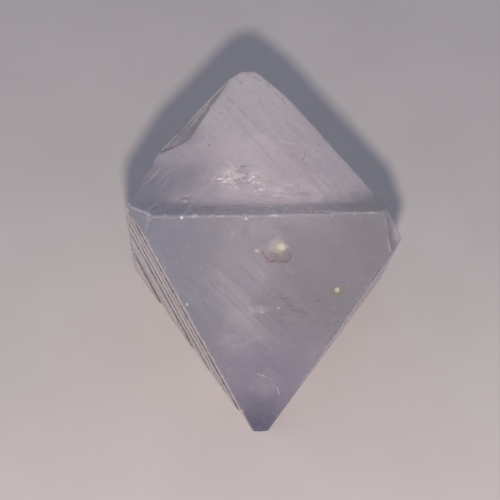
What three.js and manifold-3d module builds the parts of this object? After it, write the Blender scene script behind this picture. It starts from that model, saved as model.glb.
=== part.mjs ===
// Fluorite octahedron: one cleaved crystal lying on one of its eight cleavage faces.
// Millimetres, +Z up. The kite-shaped front face leans back over the -Y side, the level upper face
// is at the top, and the long ridge between them runs along X.
import * as THREE from 'three';
import { mergeVertices } from 'three/addons/utils/BufferGeometryUtils.js';
import Module from 'manifold-3d';

const wasm = await Module();
wasm.setup();

// ---------------------------------------------------------------- driving dimensions
const EDGE = 25;                          // edge of the ideal octahedron
const INRADIUS = EDGE / Math.sqrt(6);     // from its centre to each ideal face
const BLOCK = 2 * EDGE;                   // side of the rough block and of each cutting block

// A face is given by its outward normal, with azimuth turned from -Y towards +X and elevation up
// from level, in degrees, and by how far it stands proud of the ideal octahedron's face, in mm.
const TOP = { azimuth: 0, elevation: 90, proud: 0.18 };
const RESTING_FACE = { azimuth: 0, elevation: -90, proud: -0.02 };
const FRONT = { azimuth: 2.1, elevation: 19.4, proud: -0.19 };
const BACK_RIGHT = { azimuth: 119.3, elevation: 19.7, proud: -0.54 };
const BACK_LEFT = { azimuth: -121.2, elevation: 19.4, proud: 1.46 };
const BACK_LEFT_END = { azimuth: -110.8, elevation: 19.4, proud: 1.88 };
const RIGHT = { azimuth: 60.5, elevation: -19.6, proud: 0.51 };
const BACK = { azimuth: 180, elevation: -19.5, proud: 0 };
const LEFT = { azimuth: -61.7, elevation: -17.9, proud: -0.35 };
const CLEAVAGE_FACES = [
  TOP, RESTING_FACE, FRONT, BACK_RIGHT, BACK_LEFT, BACK_LEFT_END, RIGHT, BACK, LEFT,
];

// Broken corners: small flats standing proud of the ideal faces' depth.
const RIDGE_LEFT_FLAT = { azimuth: -28.9, elevation: 24.1, proud: 4.39 };
const RIDGE_RIGHT_FLAT = { azimuth: 54.5, elevation: 21.3, proud: 5.1 };
const LEFT_CORNER_FLAT = { azimuth: -81, elevation: -7, proud: 1.58 };
const BACK_CORNER_FLATS = [
  { azimuth: -136.4, elevation: 30, proud: 4.2 },
  { azimuth: -178.2, elevation: 30, proud: 6.17 },
  { azimuth: 128.9, elevation: 30, proud: 1.65 },
];
const CORNER_FLATS = [RIDGE_LEFT_FLAT, RIDGE_RIGHT_FLAT, LEFT_CORNER_FLAT, ...BACK_CORNER_FLATS];

// The left face is stepped: each tread leans in and ends at a riser that faces the front edge.
const RISERS_BEHIND_FRONT_EDGE = [4.6, 7.6, 10.8, 14.2];
const RISER_HEIGHT = 0.2;
const TREAD_LEAN = 5.5;                   // degrees
const RISER_FAN = 1.5;                    // degrees each riser is turned from the one before it

// A chipped ledge runs along the ridge in the top face, deepest at its back wall.
const LEDGE_LEFT_X = -10.3;
const LEDGE_RIGHT_X = 6.2;
const LEDGE_WIDEST_X = -6.6;
const LEDGE_END_Y = -6.7;
const LEDGE_BACK_CONTROL_Y = -3;
const LEDGE_DEPTH = 0.1;                  // at the ridge
const LEDGE_LEAN = 6;                     // degrees down towards the back wall
const LEDGE_CURVE_STEPS = 8;

// A flake is missing from the edge between the top and the back left face.
const FLAKE = { azimuth: -113.2, elevation: 68, proud: 2.21 };
const FLAKE_END = new THREE.Vector3(-6.9, 2.7, INRADIUS + TOP.proud);
const FLAKE_END_AZIMUTH = -146;           // the way its end wall faces

// ---------------------------------------------------------------- helpers
function direction({ azimuth, elevation }) {
  const turn = THREE.MathUtils.degToRad(azimuth);
  const rise = THREE.MathUtils.degToRad(elevation);
  const level = Math.cos(rise);
  return new THREE.Vector3(Math.sin(turn) * level, -Math.cos(turn) * level, Math.sin(rise));
}

function distance(face) {
  return INRADIUS + face.proud;
}

function toSolid(geometry) {
  geometry.deleteAttribute('normal');
  geometry.deleteAttribute('uv');
  const merged = mergeVertices(geometry);
  return new wasm.Manifold(new wasm.Mesh({
    numProp: 3,
    vertProperties: new Float32Array(merged.attributes.position.array),
    triVerts: new Uint32Array(merged.index.array),
  }));
}

function toGeometry(solid) {
  const mesh = solid.getMesh();
  const geometry = new THREE.BufferGeometry();
  geometry.setAttribute('position', new THREE.BufferAttribute(new Float32Array(mesh.vertProperties), 3));
  geometry.setIndex(new THREE.BufferAttribute(new Uint32Array(mesh.triVerts), 1));
  return geometry;
}

// A big block standing on the plane through `point` that faces `normal`. It reaches equally far
// each way across `run`, and from the point onwards along `run` if it starts there.
function blockOn(point, normal, run, startsAtPoint) {
  const across = new THREE.Vector3().crossVectors(normal, run).normalize();
  const along = new THREE.Vector3().crossVectors(across, normal);
  const geometry = new THREE.BoxGeometry(BLOCK, BLOCK, BLOCK);
  geometry.translate(startsAtPoint ? BLOCK / 2 : 0, 0, BLOCK / 2);
  geometry.applyMatrix4(new THREE.Matrix4().makeBasis(along, across, normal).setPosition(point));
  return toSolid(geometry);
}

function cleave(solid, face) {
  const normal = direction(face);
  const anyRun = new THREE.Vector3(normal.y, normal.z, normal.x);
  return solid.subtract(blockOn(normal.clone().multiplyScalar(distance(face)), normal, anyRun, false));
}

// The point where the edge between two faces crosses the level plane at height z.
function edgePoint(faceA, faceB, z) {
  const a = direction(faceA);
  const b = direction(faceB);
  const roomA = distance(faceA) - a.z * z;
  const roomB = distance(faceB) - b.z * z;
  const cross = a.x * b.y - a.y * b.x;
  return new THREE.Vector3((roomA * b.y - roomB * a.y) / cross, (a.x * roomB - b.x * roomA) / cross, z);
}

// ---------------------------------------------------------------- features
function cutSteps(solid) {
  const face = direction(LEFT);
  const frontEdge = new THREE.Vector3().crossVectors(face, direction(FRONT)).normalize();
  const backwards = new THREE.Vector3().crossVectors(frontEdge, face).normalize();
  if (backwards.dot(direction(FRONT)) > 0) backwards.negate();
  const middle = edgePoint(FRONT, LEFT, 0);
  RISERS_BEHIND_FRONT_EDGE.forEach((behind, index) => {
    const fan = THREE.MathUtils.degToRad(RISER_FAN * index);
    const towardsFront = backwards.clone().negate().applyAxisAngle(face, fan);
    const riserLine = new THREE.Vector3().crossVectors(face, towardsFront);
    const lean = THREE.MathUtils.degToRad(TREAD_LEAN);
    const treadNormal = face.clone().applyAxisAngle(riserLine, -lean);
    if (treadNormal.dot(towardsFront) > 0) treadNormal.copy(face).applyAxisAngle(riserLine, lean);
    const foot = middle.clone().addScaledVector(backwards, behind).addScaledVector(face, -RISER_HEIGHT);
    solid = solid.subtract(blockOn(foot, treadNormal, towardsFront, true));
  });
  return solid;
}

function cutLedge(solid) {
  const outline = new THREE.Shape();
  outline.moveTo(LEDGE_LEFT_X, LEDGE_END_Y);
  outline.quadraticCurveTo(LEDGE_WIDEST_X, LEDGE_BACK_CONTROL_Y, LEDGE_RIGHT_X, LEDGE_END_Y);
  outline.lineTo(LEDGE_RIGHT_X, -EDGE);
  outline.lineTo(LEDGE_LEFT_X, -EDGE);
  const geometry = new THREE.ExtrudeGeometry(outline, {
    depth: EDGE, bevelEnabled: false, curveSegments: LEDGE_CURVE_STEPS,
  });
  const ridge = edgePoint(FRONT, { azimuth: 90, elevation: 0, proud: -INRADIUS }, distance(TOP));
  geometry.translate(0, -ridge.y, 0);
  geometry.rotateX(-THREE.MathUtils.degToRad(LEDGE_LEAN));
  geometry.translate(0, ridge.y, ridge.z - LEDGE_DEPTH);
  return solid.subtract(toSolid(geometry));
}

function cutFlake(solid) {
  const endWall = direction({ azimuth: FLAKE_END_AZIMUTH, elevation: 0 });
  return solid.subtract(blockOn(FLAKE_END, direction(FLAKE), endWall, true));
}

// ---------------------------------------------------------------- the crystal
function makeCrystal() {
  let solid = toSolid(new THREE.BoxGeometry(BLOCK, BLOCK, BLOCK));
  for (const face of CLEAVAGE_FACES) solid = cleave(solid, face);
  for (const flat of CORNER_FLATS) solid = cleave(solid, flat);
  solid = cutSteps(solid);
  solid = cutLedge(solid);
  solid = cutFlake(solid);

  const geometry = toGeometry(solid);
  geometry.computeBoundingBox();
  const { min, max } = geometry.boundingBox;
  geometry.translate(-(min.x + max.x) / 2, -(min.y + max.y) / 2, -min.z);
  geometry.computeVertexNormals();

  const fluorite = new THREE.MeshStandardMaterial({
    color: 0xa8a3bd, roughness: 0.28, metalness: 0, flatShading: true,
  });
  const crystal = new THREE.Mesh(geometry, fluorite);
  crystal.name = 'fluorite_octahedron';
  return crystal;
}

const part = new THREE.Group();
part.add(makeCrystal());

export default part;
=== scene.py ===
import itertools
import math

import bmesh
import bpy
import numpy as np
from mathutils import Matrix, Vector, noise
from mathutils.geometry import delaunay_2d_cdt
from mathutils.kdtree import KDTree


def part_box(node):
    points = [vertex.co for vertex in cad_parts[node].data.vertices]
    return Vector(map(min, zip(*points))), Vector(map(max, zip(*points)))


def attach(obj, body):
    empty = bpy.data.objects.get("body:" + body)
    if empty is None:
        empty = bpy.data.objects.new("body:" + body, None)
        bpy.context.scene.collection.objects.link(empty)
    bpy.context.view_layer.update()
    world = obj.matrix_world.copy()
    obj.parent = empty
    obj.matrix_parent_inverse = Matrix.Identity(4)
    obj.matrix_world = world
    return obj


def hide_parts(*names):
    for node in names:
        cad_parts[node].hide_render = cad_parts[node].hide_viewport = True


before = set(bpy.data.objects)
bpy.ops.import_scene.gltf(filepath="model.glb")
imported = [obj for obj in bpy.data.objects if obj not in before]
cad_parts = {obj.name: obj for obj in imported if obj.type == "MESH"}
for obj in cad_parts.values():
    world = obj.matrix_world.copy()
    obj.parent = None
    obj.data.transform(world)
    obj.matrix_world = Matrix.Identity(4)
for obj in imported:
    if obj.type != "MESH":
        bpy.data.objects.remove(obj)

bl_info = {
    "name": "Fluorite Octahedron",
    "version": (1, 0, 0),
    "blender": (4, 5, 0),
    "location": "View3D > Sidebar > Fluorite",
    "description": "Builds a cleaved octahedron of milky lilac fluorite and the table it lies on",
    "category": "Add Mesh",
}

CAD_NODE = "fluorite_octahedron"
CAD_LOW, CAD_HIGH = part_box(CAD_NODE)
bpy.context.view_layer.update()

# The crystal is worked out in millimetres about the ideal octahedron's centre, then set in the
# frame's box in metres.
MM = 0.001
EDGE = 25.0
INRADIUS = EDGE / math.sqrt(6)

# Each face: azimuth of its outward normal from -Y towards +X, its elevation, both in degrees, and
# how far it stands proud of the ideal octahedron's face.
FACES = {
    "top": (0, 90, 0.18),
    "resting": (0, -90, -0.02),
    "front": (2.1, 19.4, -0.19),
    "back_right": (119.3, 19.7, -0.54),
    "back_left": (-121.2, 19.4, 1.46),
    "back_left_end": (-110.8, 19.4, 1.88),
    "right": (60.5, -19.6, 0.51),
    "back": (180, -19.5, 0),
    "left": (-61.7, -17.9, -0.35),
    "ridge_left_flat": (-28.9, 24.1, 4.39),
    "ridge_right_flat": (54.5, 21.3, 5.1),
    "left_corner_flat": (-81, -7, 1.58),
    "back_corner_flat_a": (-136.4, 30, 4.2),
    "back_corner_flat_b": (-178.2, 30, 6.17),
    "back_corner_flat_c": (128.9, 30, 1.65),
}
FACE_NAMES = list(FACES)


def heading(azimuth, elevation):
    """The unit vector at an azimuth from -Y towards +X and an elevation, in degrees."""
    turn, rise = math.radians(azimuth), math.radians(elevation)
    return np.array([math.sin(turn) * math.cos(rise), -math.cos(turn) * math.cos(rise), math.sin(rise)])


NORMALS = np.array([heading(azimuth, elevation) for azimuth, elevation, _ in FACES.values()])
DISTANCES = np.array([INRADIUS + proud for _, _, proud in FACES.values()])
NORMAL = dict(zip(FACE_NAMES, NORMALS))
DISTANCE = dict(zip(FACE_NAMES, DISTANCES))


# ------------------------------------------------------------------ settings
def length_setting(name, description, millimetres, least=0):
    return bpy.props.FloatProperty(
        name=name, description=description, default=millimetres * MM, min=least * MM,
        unit="LENGTH", precision=6)


def colour_setting(name, description, default):
    return bpy.props.FloatVectorProperty(
        name=name, description=description, subtype="COLOR", size=3, min=0, max=1, default=default)


class CrystalSizes(bpy.types.PropertyGroup):
    grid: length_setting("Surface grid", "Spacing of the points on each face", 0.21, least=0.1)
    edge_softness: bpy.props.IntProperty(
        name="Edge sharpness", description="Higher values leave a smaller rounding where faces meet",
        default=420, min=60)
    edge_wear: length_setting("Edge wear", "Depth of the plain wear along every edge", 0.025)
    chip_depth: length_setting("Edge chips", "Depth of the small chips along the edges", 0.11)
    step_height: length_setting("Step height", "Height of the largest cleavage steps", 0.17)
    ledge_depth: length_setting("Ledge depth", "Depth of the chipped ledge at the ridge", 0.055)


class CrystalColours(bpy.types.PropertyGroup):
    milk: colour_setting("Milky lilac", "Main colour of the milky crystal", (0.455, 0.45, 0.525))
    slate: colour_setting("Slate blue", "Colour of the deeper, clearer zones", (0.33, 0.36, 0.44))
    warm: colour_setting("Warm grey", "Colour of the greyer zones", (0.35, 0.36, 0.40))
    violet: colour_setting("Violet", "Colour of the most strongly coloured zones", (0.37, 0.35, 0.465))
    pink: colour_setting("Pale pinkish lilac", "Colour of the palest zones", (1.0, 0.93, 0.98))
    deep: colour_setting("Deep slate", "Colour of the darkest zones", (0.19, 0.195, 0.30))
    # Frosted white of the stepped left face and of worn edges; also painted as glints along the edges, as a
    # light rim along the top's right edge and as sparkles low on the front.
    frost: colour_setting("Frosted white", "Colour of the stepped, frosted left face", (0.98, 0.93, 0.93))
    dirt: colour_setting("Brown dirt", "Colour of the dirt in steps and pits", (0.13, 0.09, 0.085))
    rust: colour_setting("Rusty red", "Colour of the stain round the open pit", (0.30, 0.19, 0.19))
    straw: colour_setting("Straw yellow", "Colour of the pale yellowish grains", (1.0, 0.95, 0.80))
    moss: colour_setting(
        "Grey green", "Colour of the missing flake and of the grain's halo", (0.33, 0.36, 0.30))
    # Violet white, painted as glints on the crumpled facets of the bright cracks and along short lines of
    # the top.
    glint: colour_setting("Violet white", "Colour of the bright cracks", (0.94, 0.90, 1.0))
    absorbed: colour_setting(
        "Body tint", "Colour that light keeps on its way through the crystal", (0.72, 0.66, 0.80))


class StageSettings(bpy.types.PropertyGroup):
    floor: colour_setting("Floor colour", "Colour of the plain pale table", (0.62, 0.60, 0.60))
    key_power: bpy.props.FloatProperty(
        name="Key light", description="Power of the lamp beside the camera",
        default=0.29, min=0, unit="POWER")
    sky: bpy.props.FloatProperty(
        name="Sky light", description="Strength of the cool light from all round", default=0.35, min=0)
    azimuth: bpy.props.FloatProperty(
        name="View azimuth", description="Camera's turn from -Y towards +X",
        default=math.radians(-2.84), subtype="ANGLE")
    elevation: bpy.props.FloatProperty(
        name="View elevation", description="Camera's height angle",
        default=math.radians(43.19), subtype="ANGLE")
    roll: bpy.props.FloatProperty(
        name="View roll", description="Camera's tilt about its own axis",
        default=math.radians(2.92), subtype="ANGLE")
    distance: length_setting("View distance", "From the camera to the crystal's centre", 204.1)


# ------------------------------------------------------------------ the crystal's flat form
def crystal_corners():
    """The corners where three or more faces meet, in millimetres about the ideal centre."""
    corners = []
    for trio in itertools.combinations(range(len(NORMALS)), 3):
        matrix = NORMALS[list(trio)]
        if abs(np.linalg.det(matrix)) < 1e-6:
            continue
        point = np.linalg.solve(matrix, DISTANCES[list(trio)])
        outside = (NORMALS @ point > DISTANCES + 1e-7).any()
        known = any(np.linalg.norm(point - corner) < 1e-4 for corner in corners)
        if not outside and not known:
            corners.append(point)
    return np.array(corners)


CORNERS = crystal_corners()
CENTRE_IN_FRAME = Vector((
    (CAD_LOW[0] + CAD_HIGH[0]) / 2 - (CORNERS[:, 0].min() + CORNERS[:, 0].max()) / 2 * MM,
    (CAD_LOW[1] + CAD_HIGH[1]) / 2 - (CORNERS[:, 1].min() + CORNERS[:, 1].max()) / 2 * MM,
    CAD_LOW[2] - CORNERS[:, 2].min() * MM,
))


def face_axes(name):
    """Two level-in-the-face axes, the first along the face's edge with another cleavage face."""
    normal = NORMAL[name]
    mate = NORMAL["front"] if name in ("top", "left", "right") else NORMAL["top"]
    if name in ("resting", "back"):
        mate = NORMAL["left"]
    along = np.cross(normal, mate)
    along /= np.linalg.norm(along)
    return along, np.cross(normal, along)


def corner_loop(index):
    """The numbers of a face's corners, in order round it."""
    on_face = np.where(abs(CORNERS @ NORMALS[index] - DISTANCES[index]) < 1e-4)[0]
    along, across = face_axes(FACE_NAMES[index])
    middle = CORNERS[on_face].mean(axis=0)
    spokes = CORNERS[on_face] - middle
    return on_face[np.argsort(np.arctan2(spokes @ across, spokes @ along))]


# ------------------------------------------------------------------ relief of the faces
def value_noise(points, scale, seed):
    """Smooth noise from about -1 to 1 at each point, with features about `scale` millimetres wide."""
    shift = Vector((seed * 17.3, seed * 5.1, seed * 11.7))
    return np.array([noise.noise(Vector(point) / scale + shift) for point in points])


def smooth_rise(values, low, high):
    """0 below low, 1 above high, and a smooth curve between."""
    t = np.clip((values - low) / (high - low), 0, 1)
    return t * t * (3 - 2 * t)


class Steps:
    """A face's cleavage steps: how far each riser lies from the face's first corner, in millimetres,
    along a way turned `towards` degrees in the face; the share of the full step height; how much each
    riser is turned from the one before; and how far the treads lean and the risers wobble."""

    def __init__(self, risers, share, towards=0.0, fan=0.0, lean=5.5, wobble=0.05):
        self.risers = risers
        self.share = share
        self.towards = math.radians(towards)
        self.fan = math.radians(fan)
        self.lean = math.tan(math.radians(lean))
        self.wobble = wobble


# The left face's risers are counted back from the crystal's front edge.
FACE_STEPS = {
    "left": Steps([2.6, 4.6, 7.6, 10.8, 14.2, 17.4], 1.0, fan=1.2, wobble=0.06),
    "right": Steps([3.1, 7.8, 9.0, 15.2], 0.6, towards=60, fan=-0.7),
    "back": Steps([2.0, 5.5, 6.6, 11.9, 16.3], 0.3, towards=150, fan=1.1),
    "back_right": Steps([4.2, 10.4, 11.3], 0.35, fan=0.5),
    "back_left": Steps([3.3, 8.9, 13.5, 14.4], 0.4, towards=60, fan=0.6),
    "resting": Steps([6.0, 12.5], 0.3, fan=0.4),
}


def step_frame(name):
    """The start, the way towards the next riser and the way along the risers, for a face's steps."""
    steps = FACE_STEPS[name]
    along, across = face_axes(name)
    loop = CORNERS[corner_loop(FACE_NAMES.index(name))]
    if name == "left":
        along = np.cross(NORMAL["left"], NORMAL["front"])
        along /= np.linalg.norm(along)
        across = np.cross(along, NORMAL["left"])
        across *= -np.sign(across @ NORMAL["front"])
    way = across * math.cos(steps.towards) + along * math.sin(steps.towards)
    run = np.cross(NORMAL[name], way)
    start = loop[np.argmin(loop @ way)]
    return start, way, run


def riser_shift(name, number, along_run):
    """How far riser `number` is from its plain straight place, at places along it."""
    steps = FACE_STEPS[name]
    wave = np.sin(along_run * 0.9 + number * 2.1) + 0.5 * np.sin(along_run * 2.3 + number * 5.3)
    return along_run * math.tan(steps.fan * number) + steps.wobble * wave


def stepped_inset(name, points, height):
    """How far the steps sink each point of a face, in millimetres."""
    steps = FACE_STEPS[name]
    start, way, run = step_frame(name)
    behind = (points - start) @ way
    along_run = (points - start) @ run
    inset = np.zeros(len(points))
    for number, riser in enumerate(steps.risers):
        short = riser + riser_shift(name, number, along_run) - behind
        full = height * steps.share * (0.55 + 0.45 * math.sin(number * 2.6 + 1))
        tread = np.clip(full - short * steps.lean, 0, None)
        inset = np.where(short > 0, np.maximum(inset, tread), inset)
    return inset


def riser_lines(name, spacing):
    """Points along each riser of a face, as one array for each."""
    steps = FACE_STEPS[name]
    start, way, run = step_frame(name)
    along_run = np.arange(-30, 30, spacing)
    lines = []
    for number, riser in enumerate(steps.risers):
        reach = riser + riser_shift(name, number, along_run)
        lines.append(start + np.outer(reach, way) + np.outer(along_run, run))
    return lines


# The chipped ledge along the ridge, in the top face: its back wall is one long low curve.
LEDGE_LEFT, LEDGE_RIGHT, LEDGE_WIDEST = -10.3, 6.2, -6.6
LEDGE_END_Y, LEDGE_CONTROL_Y = -6.7, -3.0
LEDGE_SLOPE = 0.3 * math.tan(math.radians(3))
# Each thin wall of the ledge: its share of the way from the ridge to the back wall, and its share
# of the depth.
LEDGE_WALLS = [(1.0, 0.8), (0.72, 0.4), (0.45, 0.5), (0.22, 0.25)]


def ledge_wall(share):
    """The ledge's back wall, at shares of its length, as X and Y."""
    ends, middle = (1 - share) ** 2, 2 * share * (1 - share)
    x = ends * LEDGE_LEFT + middle * LEDGE_WIDEST + share ** 2 * LEDGE_RIGHT
    y = (ends + share ** 2) * LEDGE_END_Y + middle * LEDGE_CONTROL_Y
    return x, y


def ridge_y(x):
    """Where the ridge between the top and the front lies."""
    front = NORMAL["front"]
    return (DISTANCE["front"] - front[2] * DISTANCE["top"] - front[0] * x) / front[1]


def ledge_step(x, part):
    """Where one of the ledge's thin walls lies at each X, wandering a little."""
    wall_x, wall_y = ledge_wall(np.linspace(0, 1, 200))
    width = np.interp(x, wall_x, wall_y, left=-99, right=-99) - ridge_y(x)
    wander = 0.6 * np.sin(x * 1.9 + part * 9) + np.sin(x * 0.9 + part * 5)
    return ridge_y(x) + width * part + 0.07 * wander * np.clip(width, 0, 1)


def ledge_inset(points, depth):
    """How far the chipped ledge sinks the top face."""
    x, y = points[:, 0], points[:, 1]
    grain = 0.008 * value_noise(points, 0.5, 8)
    inset = np.zeros(len(points))
    for part, share in LEDGE_WALLS:
        wall = ledge_step(x, part)
        floor = share * depth + np.clip(wall - y, 0, None) * LEDGE_SLOPE
        inset += np.where(y < wall, np.clip(floor + grain, 0, None), 0)
    return inset


# The flake missing from the upper left edge: a shallow slope that ends at a small wall.
FLAKE_SLOPE = heading(-113.2, 68)
FLAKE_DISTANCE = INRADIUS + 2.21
FLAKE_END = np.array([-6.9, 2.7, 0])
FLAKE_WALL = heading(-146, 0)


def flake_inset(points):
    """How far the missing flake sinks the top face."""
    height = (FLAKE_DISTANCE - points @ FLAKE_SLOPE) / FLAKE_SLOPE[2]
    ripple = 0.03 * value_noise(points, 0.9, 21)
    past_wall = (points - FLAKE_END) @ FLAKE_WALL
    drop = np.clip(-height + ripple, 0, None)
    return drop * smooth_rise(past_wall, -0.04, 0.04)


# Small bruises and pin-holes: face, place, radius and depth, in millimetres.
PITS = [
    ("front", (-10.2, -7.4, 10.1), 0.32, 0.13),
    ("front", (-8.9, -7.3, 10.3), 0.26, 0.10),
    ("front", (-7.4, -7.3, 10.3), 0.36, 0.12),
    ("front", (-6.3, -7.2, 10.3), 0.28, 0.10),
    ("front", (-1.7, -7.1, 10.2), 0.42, 0.12),
    ("front", (3.1, -7.0, 10.1), 0.26, 0.09),
    ("front", (8.6, -6.8, 10.0), 0.22, 0.09),
    ("top", (-7.0, -5.0, 10.4), 0.35, 0.12),
    ("top", (-4.8, 7.5, 10.4), 0.30, 0.10),
    ("top", (-3.8, 6.8, 10.4), 0.20, 0.07),
    ("top", (-4.9, 2.1, 10.4), 0.22, 0.06),
    ("top", (5.0, 3.9, 10.4), 0.18, 0.05),
    ("front", (-6.7, -10.1, 2.1), 0.25, 0.08),
]


def pitted_inset(name, points):
    """How far the small pits sink a face."""
    inset = np.zeros(len(points))
    for face, place, radius, depth in PITS:
        if face == name:
            away = np.linalg.norm(points - np.array(place), axis=1)
            inset = np.maximum(inset, depth * (1 - smooth_rise(away, 0.35 * radius, radius)))
    return inset


# The corners of the small open pit in the front face, as X and Z.
PIT_CORNERS = [(-0.1, 6.95), (2.35, 6.95), (2.3, 6.0), (0.45, 6.0)]
PIT_DEPTH = 0.06


def open_pit_inset(points):
    """How far the open pit sinks the front face."""
    x, z = points[:, 0], points[:, 2]
    room = np.full(len(points), 9.0)
    for (x0, z0), (x1, z1) in zip(PIT_CORNERS, PIT_CORNERS[1:] + PIT_CORNERS[:1]):
        length = math.hypot(x1 - x0, z1 - z0)
        room = np.minimum(room, ((x1 - x0) * (z0 - z) + (x - x0) * (z1 - z0)) / length)
    return PIT_DEPTH * smooth_rise(room, -0.03, 0.14)


def face_inset(name, points, sizes):
    """How far a face's relief sinks each point, in millimetres."""
    inset = 0.012 * (1 + value_noise(points, 3.5, 5))
    if name in FACE_STEPS:
        inset = inset + stepped_inset(name, points, sizes.step_height / MM)
    if name == "top":
        inset = inset + np.maximum(ledge_inset(points, sizes.ledge_depth / MM), flake_inset(points))
    if name == "front":
        inset = inset + open_pit_inset(points)
    if name in ("top", "front"):
        inset = inset + pitted_inset(name, points)
        across = points @ (heading(90, 0) * 0.5 + heading(0, 0) * 0.866)
        fine = np.mod(across / 1.7 + 0.04 * value_noise(points, 4.0, 12), 1)
        inset = inset + 0.004 * fine
    if name.endswith(("flat", "_a", "_b", "_c")):
        inset = inset + 0.04 * (1 + value_noise(points, 1.0, 31))
    return inset


# ------------------------------------------------------------------ the fine crystal mesh
# Extra rows of points, in millimetres to the sides of each riser and in from each edge.
RISER_ROWS = (-0.06, -0.02, 0.02, 0.06)
EDGE_ROWS = (0.045, 0.11, 0.2)
EDGE_REACH = 1.2
CREVICE_WIDTH = 0.09
RIM_WIDTH = 0.1


def edge_list():
    """Each edge of the flat form: its two corners and its two faces."""
    edges = {}
    for index in range(len(NORMALS)):
        loop = corner_loop(index)
        for a, b in zip(loop, np.roll(loop, -1)):
            edges.setdefault((min(a, b), max(a, b)), []).append(index)
    return edges


def wear_planes(points, sizes):
    """For each edge, the worn plane across it: its normal and its distance at every point."""
    planes = []
    for number, ((a, b), (face_a, face_b)) in enumerate(sorted(edge_list().items())):
        normal = NORMALS[face_a] + NORMALS[face_b]
        normal /= np.linalg.norm(normal)
        near = (points @ normal) > CORNERS[a] @ normal - EDGE_REACH
        depth = np.full(len(points), sizes.edge_wear / MM)
        if near.any():
            some = points[near]
            fine = np.clip(value_noise(some, 0.55, 40 + number) - 0.18, 0, None)
            broad = np.clip(value_noise(some, 2.2, 80 + number), 0, None)
            depth[near] += sizes.chip_depth / MM * (1.7 * fine + 0.3 * broad)
        planes.append((normal, CORNERS[a] @ normal - depth))
    return planes


def surface_radius(points, sizes):
    """How far the finished surface lies from the centre, along the way to each point."""
    reach = np.linalg.norm(points, axis=1)
    ways = points / reach[:, None]
    flat_share = (ways @ NORMALS.T) / DISTANCES
    nearest = flat_share.max(axis=1)
    shares = []
    for index, name in enumerate(FACE_NAMES):
        share = np.clip(flat_share[:, index], 1e-6, None)
        close = share > 0.9 * nearest
        inset = face_inset(name, points[close], sizes)
        share[close] = (ways[close] @ NORMALS[index]) / (DISTANCES[index] - inset)
        shares.append(share)
    rim_gap = gap_to_edges(np.array(shares))
    for normal, distance in wear_planes(points, sizes):
        shares.append(np.clip(ways @ normal, 1e-6, None) / distance)
    shares = np.array(shares)
    largest = shares.max(axis=0)
    total = ((shares / largest) ** sizes.edge_softness).sum(axis=0)
    return ways / (largest * total ** (1 / sizes.edge_softness))[:, None], rim_gap


def gap_to_edges(shares):
    """How far each point lies from the nearest edge between two faces, from its share of each."""
    nearest = shares.argmax(axis=0)
    bend = np.sqrt(np.clip(1 - (NORMALS @ NORMALS.T) ** 2, 0, 1))[:, nearest]
    gaps = (1 - shares / shares.max(axis=0)) * DISTANCES[:, None] / np.clip(bend, 0.3, None)
    return np.where(bend > 0.3, gaps, 9.0).min(axis=0)


class SurfaceGrid:
    """Points and triangles over all the flat faces, sharing the points along their edges."""

    def __init__(self, spacing):
        self.spacing = spacing
        self.points = [Vector(corner) for corner in CORNERS]
        self.triangles = []
        self.edge_points = {}

    def along_edge(self, a, b):
        """The numbers of the points from corner a to corner b, without b."""
        key = (min(a, b), max(a, b))
        if key not in self.edge_points:
            start, end = CORNERS[key[0]], CORNERS[key[1]]
            count = max(1, round(np.linalg.norm(end - start) / self.spacing))
            first = len(self.points)
            self.points += [Vector(start + (end - start) * i / count) for i in range(1, count)]
            self.edge_points[key] = list(range(first, len(self.points)))
        inner = self.edge_points[key]
        return [a] + (inner if a < b else inner[::-1])

    def add_face(self, index):
        name = FACE_NAMES[index]
        normal, along = NORMALS[index], face_axes(name)[0]
        across = np.cross(normal, along)
        loop = corner_loop(index)
        first_side, second_side = np.diff(CORNERS[loop[:3]], axis=0)
        if np.cross(first_side, second_side) @ normal < 0:
            loop = loop[::-1]
        middle = CORNERS[loop].mean(axis=0)

        def flat(places):
            return np.column_stack([(places - middle) @ along, (places - middle) @ across])

        corners = flat(CORNERS[loop])
        walls = []
        for start, end in zip(corners, np.roll(corners, -1, axis=0)):
            run = (end - start) / np.linalg.norm(end - start)
            walls.append((start, end, run, np.array([-run[1], run[0]])))

        def room(places):
            return np.array([(places - start) @ inward for start, _, _, inward in walls])

        border = [n for a, b in zip(loop, np.roll(loop, -1)) for n in self.along_edge(a, b)]
        rows = []
        for start, end, run, inward in walls:
            steps = np.arange(self.spacing / 2, np.linalg.norm(end - start), self.spacing)
            for offset in EDGE_ROWS:
                row = start + np.outer(steps, run) + inward * offset
                rows.append(row[(room(row) > offset - 1e-6).all(axis=0)])
        risers = []
        for line in feature_lines(name, self.spacing / 2):
            line = flat(line)
            run = np.gradient(line, axis=0)
            side = np.column_stack([-run[:, 1], run[:, 0]]) / np.linalg.norm(run, axis=1)[:, None]
            for offset in RISER_ROWS:
                row = line + side * offset
                risers.append(row[(room(row) > EDGE_ROWS[-1] + 0.05).all(axis=0)])
        size = np.abs(corners).max() + 1
        lattice = [
            ((i + (j % 2) / 2) * self.spacing, j * self.spacing * math.sqrt(3) / 2)
            for j in range(-int(size / self.spacing * 1.2), int(size / self.spacing * 1.2))
            for i in range(-int(size / self.spacing), int(size / self.spacing))
        ]
        lattice = np.array(lattice)
        lattice = lattice[(room(lattice) > EDGE_ROWS[-1] + 0.5 * self.spacing).all(axis=0)]
        lattice = lattice[clear_of(lattice, risers, 0.5 * self.spacing)]
        inner = np.vstack([part for part in rows + risers + [lattice] if len(part)])

        border_flat = flat(np.array([self.points[n] for n in border]))
        places = [Vector(p) for p in np.vstack([border_flat, inner])]
        ring = [(i, (i + 1) % len(border)) for i in range(len(border))]
        found, _, triangles, origins, _, _ = delaunay_2d_cdt(places, ring, [], 1, 1e-5)
        numbers = []
        for place, origin in zip(found, origins):
            known = [o for o in origin if o < len(border)]
            if known:
                numbers.append(border[known[0]])
            else:
                numbers.append(len(self.points))
                self.points.append(Vector(middle + along * place[0] + across * place[1]))
        for triangle in triangles:
            self.triangles.append([numbers[n] for n in triangle])


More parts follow.
